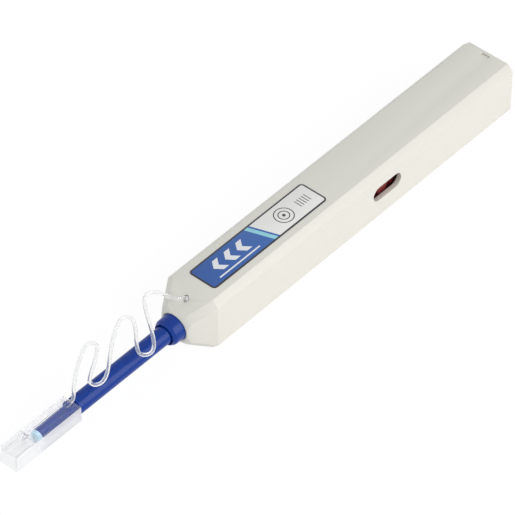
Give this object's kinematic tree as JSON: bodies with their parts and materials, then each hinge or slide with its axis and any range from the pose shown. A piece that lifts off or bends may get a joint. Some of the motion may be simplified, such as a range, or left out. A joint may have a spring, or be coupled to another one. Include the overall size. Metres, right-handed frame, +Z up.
{
  "type": "fibre connector cleaning pen",
  "caption": "Square pen with a push-action nozzle that wipes a fibre end face with a fed thread, and a clear guide cap on a wavy tether.",
  "frame": {"origin": "centre of the flat long face that the housing lies on", "axes": "+X along the pen to its rear end, nozzle towards -X; +Z up out of the labelled face; +Y to the side without the window"},
  "size_m": [0.2087, 0.0198, 0.0191],
  "materials": {
    "ivory_shell": "fine moulded texture, warm ivory",
    "blue_nozzle": "smooth moulded blue",
    "pale_guide": "smooth moulded pale blue",
    "clear_guard": "clear moulded plastic",
    "clear_strand": "clear soft plastic",
    "printed_label": "laminated print in blue and grey",
    "maroon_reel": "moulded dark red",
    "white_acetal": "white acetal",
    "spring_steel": "drawn steel",
    "lint_free_thread": "fine woven thread"
  },
  "bodies": {
    "housing": {"housing": "ivory_shell", "rear_plug": "ivory_shell", "label": "printed_label", "tether_anchor": "clear_strand", "tether": "clear_strand", "return_spring": "spring_steel"},
    "carriage": {"carriage": "blue_nozzle", "takeup_axle": "spring_steel", "supply_axle": "spring_steel", "takeup_pawl": "spring_steel", "supply_brake": "spring_steel", "nozzle_detent": "spring_steel", "cleaning_thread": "lint_free_thread"},
    "gear": {"feed_gear": "white_acetal"},
    "takeup": {"takeup_reel": "maroon_reel", "takeup_winding": "lint_free_thread"},
    "supply": {"supply_reel": "maroon_reel", "supply_winding": "lint_free_thread"},
    "cam": {"cam_barrel": "white_acetal", "cam_clip": "spring_steel"},
    "rod": {"feed_rod": "white_acetal", "head_spring": "spring_steel"},
    "head": {"cleaning_head": "white_acetal"},
    "nozzle": {"nozzle_tube": "blue_nozzle", "nozzle_tip": "blue_nozzle", "tip_sleeve": "pale_guide"},
    "cap": {"guide_cap": "clear_guard"}
  },
  "joints": [
    {"name": "push_slide", "type": "slide", "parent": "housing", "child": "carriage", "axis": [1, 0, 0], "range_m": [0, 0.012], "stiffness_N_per_m": 200, "springref_m": -0.015, "deforming": ["return_spring", "tether"]},
    {"name": "gear_spin", "type": "hinge", "parent": "carriage", "child": "gear", "pos_m": [0.0079, 0, 0.0095], "axis": [0, 1, 0], "range_deg": [0, 115]},
    {"name": "takeup_spin", "type": "hinge", "parent": "carriage", "child": "takeup", "pos_m": [0.0079, 0, 0.0095], "axis": [0, 1, 0], "range_deg": [0, 115]},
    {"name": "supply_spin", "type": "hinge", "parent": "carriage", "child": "supply", "pos_m": [0.0242, 0, 0.0095], "axis": [0, 1, 0], "range_deg": [0, 81]},
    {"name": "cam_spin", "type": "hinge", "parent": "carriage", "child": "cam", "pos_m": [0, 0, 0.0095], "axis": [1, 0, 0], "range_deg": [0, 180.5]},
    {"name": "nozzle_extend", "type": "slide", "parent": "carriage", "child": "nozzle", "axis": [-1, 0, 0], "range_m": [0, 0.03], "deforming": ["nozzle_detent", "cleaning_thread"]},
    {"name": "rod_extend", "type": "slide", "parent": "cam", "child": "rod", "axis": [-1, 0, 0], "range_m": [0, 0.03]},
    {"name": "head_plunge", "type": "slide", "parent": "rod", "child": "head", "axis": [1, 0, 0], "range_m": [0, 0.001], "stiffness_N_per_m": 300, "springref_m": -0.002, "deforming": ["head_spring"]},
    {"name": "cap_pull", "type": "slide", "parent": "nozzle", "child": "cap", "axis": [-1, 0, 0], "range_m": [0, 0.025]}
  ],
  "couplings": [
    {"joint": "gear_spin", "follows": "push_slide", "rad_per_m": 166.67},
    {"joint": "takeup_spin", "follows": "push_slide", "rad_per_m": 166.67},
    {"joint": "supply_spin", "follows": "push_slide", "rad_per_m": 116.67},
    {"joint": "cam_spin", "follows": "push_slide", "rad_per_m": 261.8},
    {"joint": "rod_extend", "follows": "nozzle_extend", "ratio": 1}
  ]
}
